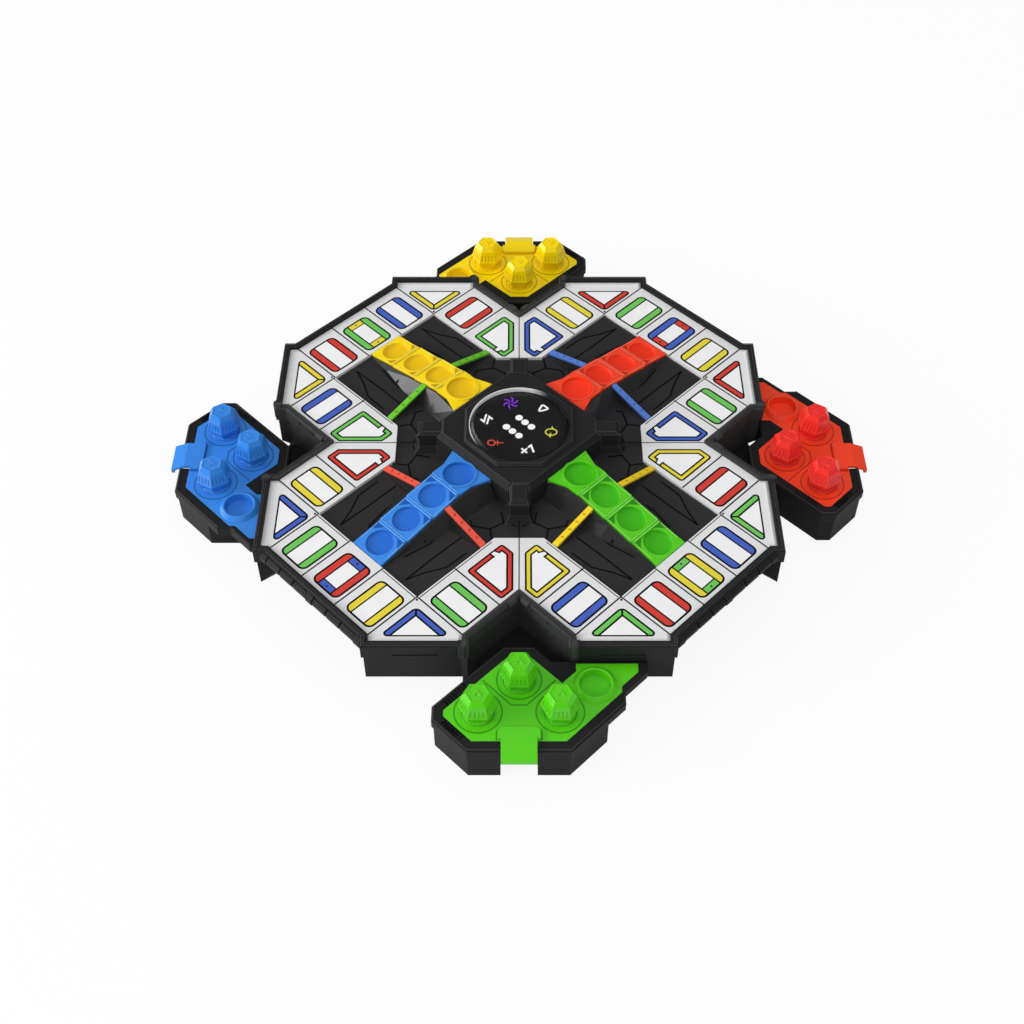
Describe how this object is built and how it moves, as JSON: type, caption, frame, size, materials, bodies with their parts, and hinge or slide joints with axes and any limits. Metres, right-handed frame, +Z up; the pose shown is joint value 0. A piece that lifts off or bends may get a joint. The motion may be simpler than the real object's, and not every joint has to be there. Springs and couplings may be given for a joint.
{
  "type": "electronic ludo game",
  "caption": "Electronic ludo game: a board on arched arms with a push display, raised home runways, pawn trays docked in its edge, and faceted pawns.",
  "frame": {"origin": "centre of the board at the level of the table it stands on", "axes": "+Z up, +X towards the red tray, +Y towards the yellow tray; the blue tray is at -X and the green one at -Y"},
  "size_m": [0.374, 0.374, 0.0492],
  "materials": {
    "black_plastic": "moulded black plastic, satin",
    "grey_floor": "moulded dark grey plastic, satin",
    "white_panel": "printed white plastic, smooth",
    "red_plastic": "moulded red plastic, satin",
    "yellow_plastic": "moulded yellow plastic, satin",
    "blue_plastic": "moulded blue plastic, satin",
    "green_plastic": "moulded green plastic, satin",
    "clear_lens": "clear moulded plastic, polished",
    "display_black": "printed black display, glossy",
    "board_green": "circuit board lacquer",
    "switch_black": "moulded black plastic",
    "speaker_metal": "stamped steel",
    "cell_wrap": "printed metal sleeve"
  },
  "bodies": {
    "board": {"arm_body_red": "black_plastic", "rim_frame_red": "black_plastic", "track_panel_red": "white_panel", "valley_floor_red": "grey_floor", "runway_red": "red_plastic", "cross_bar_red": "blue_plastic", "arm_body_yellow": "black_plastic", "rim_frame_yellow": "black_plastic", "track_panel_yellow": "white_panel", "valley_floor_yellow": "grey_floor", "runway_yellow": "yellow_plastic", "cross_bar_yellow": "green_plastic", "arm_body_blue": "black_plastic", "rim_frame_blue": "black_plastic", "track_panel_blue": "white_panel", "valley_floor_blue": "grey_floor", "runway_blue": "blue_plastic", "cross_bar_blue": "red_plastic", "arm_body_green": "black_plastic", "rim_frame_green": "black_plastic", "track_panel_green": "white_panel", "valley_floor_green": "grey_floor", "runway_green": "green_plastic", "cross_bar_green": "yellow_plastic", "dice_housing": "black_plastic", "display_collar": "black_plastic", "circuit_board": "board_green", "press_switch": "switch_black", "speaker": "speaker_metal", "pod_base": "black_plastic", "battery_door": "black_plastic", "battery_cells": "cell_wrap"},
    "press_button": {"press_dome": "clear_lens", "display_disc": "display_black"},
    "tray_red": {"tray_shell_red": "black_plastic", "tray_plate_red": "red_plastic", "tray_tab_red": "red_plastic"},
    "playing_pawn_red_1": {"pawn_red_1": "red_plastic"},
    "playing_pawn_red_2": {"pawn_red_2": "red_plastic"},
    "playing_pawn_red_3": {"pawn_red_3": "red_plastic"},
    "tray_yellow": {"tray_shell_yellow": "black_plastic", "tray_plate_yellow": "yellow_plastic", "tray_tab_yellow": "yellow_plastic"},
    "playing_pawn_yellow_1": {"pawn_yellow_1": "yellow_plastic"},
    "playing_pawn_yellow_2": {"pawn_yellow_2": "yellow_plastic"},
    "playing_pawn_yellow_3": {"pawn_yellow_3": "yellow_plastic"},
    "tray_blue": {"tray_shell_blue": "black_plastic", "tray_plate_blue": "blue_plastic", "tray_tab_blue": "blue_plastic"},
    "playing_pawn_blue_1": {"pawn_blue_1": "blue_plastic"},
    "playing_pawn_blue_2": {"pawn_blue_2": "blue_plastic"},
    "playing_pawn_blue_3": {"pawn_blue_3": "blue_plastic"},
    "tray_green": {"tray_shell_green": "black_plastic", "tray_plate_green": "green_plastic", "tray_tab_green": "green_plastic"},
    "playing_pawn_green_1": {"pawn_green_1": "green_plastic"},
    "playing_pawn_green_2": {"pawn_green_2": "green_plastic"},
    "playing_pawn_green_3": {"pawn_green_3": "green_plastic"}
  },
  "joints": [
    {"name": "press_travel", "type": "slide", "parent": "board", "child": "press_button", "axis": [0, 0, -1], "range_m": [0, 0.0015], "stiffness_N_per_m": 600, "springref_m": -0.001},
    {"name": "tray_undock_red", "type": "slide", "parent": "board", "child": "tray_red", "axis": [1, 0, 0], "range_m": [0, 0.06]},
    {"name": "lift_pawn_red_1", "type": "slide", "parent": "tray_red", "child": "playing_pawn_red_1", "axis": [0, 0, 1], "range_m": [0, 0.03]},
    {"name": "lift_pawn_red_2", "type": "slide", "parent": "tray_red", "child": "playing_pawn_red_2", "axis": [0, 0, 1], "range_m": [0, 0.03]},
    {"name": "lift_pawn_red_3", "type": "slide", "parent": "tray_red", "child": "playing_pawn_red_3", "axis": [0, 0, 1], "range_m": [0, 0.03]},
    {"name": "tray_undock_yellow", "type": "slide", "parent": "board", "child": "tray_yellow", "axis": [0, 1, 0], "range_m": [0, 0.06]},
    {"name": "lift_pawn_yellow_1", "type": "slide", "parent": "tray_yellow", "child": "playing_pawn_yellow_1", "axis": [0, 0, 1], "range_m": [0, 0.03]},
    {"name": "lift_pawn_yellow_2", "type": "slide", "parent": "tray_yellow", "child": "playing_pawn_yellow_2", "axis": [0, 0, 1], "range_m": [0, 0.03]},
    {"name": "lift_pawn_yellow_3", "type": "slide", "parent": "tray_yellow", "child": "playing_pawn_yellow_3", "axis": [0, 0, 1], "range_m": [0, 0.03]},
    {"name": "tray_undock_blue", "type": "slide", "parent": "board", "child": "tray_blue", "axis": [-1, 0, 0], "range_m": [0, 0.06]},
    {"name": "lift_pawn_blue_1", "type": "slide", "parent": "tray_blue", "child": "playing_pawn_blue_1", "axis": [0, 0, 1], "range_m": [0, 0.03]},
    {"name": "lift_pawn_blue_2", "type": "slide", "parent": "tray_blue", "child": "playing_pawn_blue_2", "axis": [0, 0, 1], "range_m": [0, 0.03]},
    {"name": "lift_pawn_blue_3", "type": "slide", "parent": "tray_blue", "child": "playing_pawn_blue_3", "axis": [0, 0, 1], "range_m": [0, 0.03]},
    {"name": "tray_undock_green", "type": "slide", "parent": "board", "child": "tray_green", "axis": [0, -1, 0], "range_m": [0, 0.06]},
    {"name": "lift_pawn_green_1", "type": "slide", "parent": "tray_green", "child": "playing_pawn_green_1", "axis": [0, 0, 1], "range_m": [0, 0.03]},
    {"name": "lift_pawn_green_2", "type": "slide", "parent": "tray_green", "child": "playing_pawn_green_2", "axis": [0, 0, 1], "range_m": [0, 0.03]},
    {"name": "lift_pawn_green_3", "type": "slide", "parent": "tray_green", "child": "playing_pawn_green_3", "axis": [0, 0, 1], "range_m": [0, 0.03]}
  ]
}
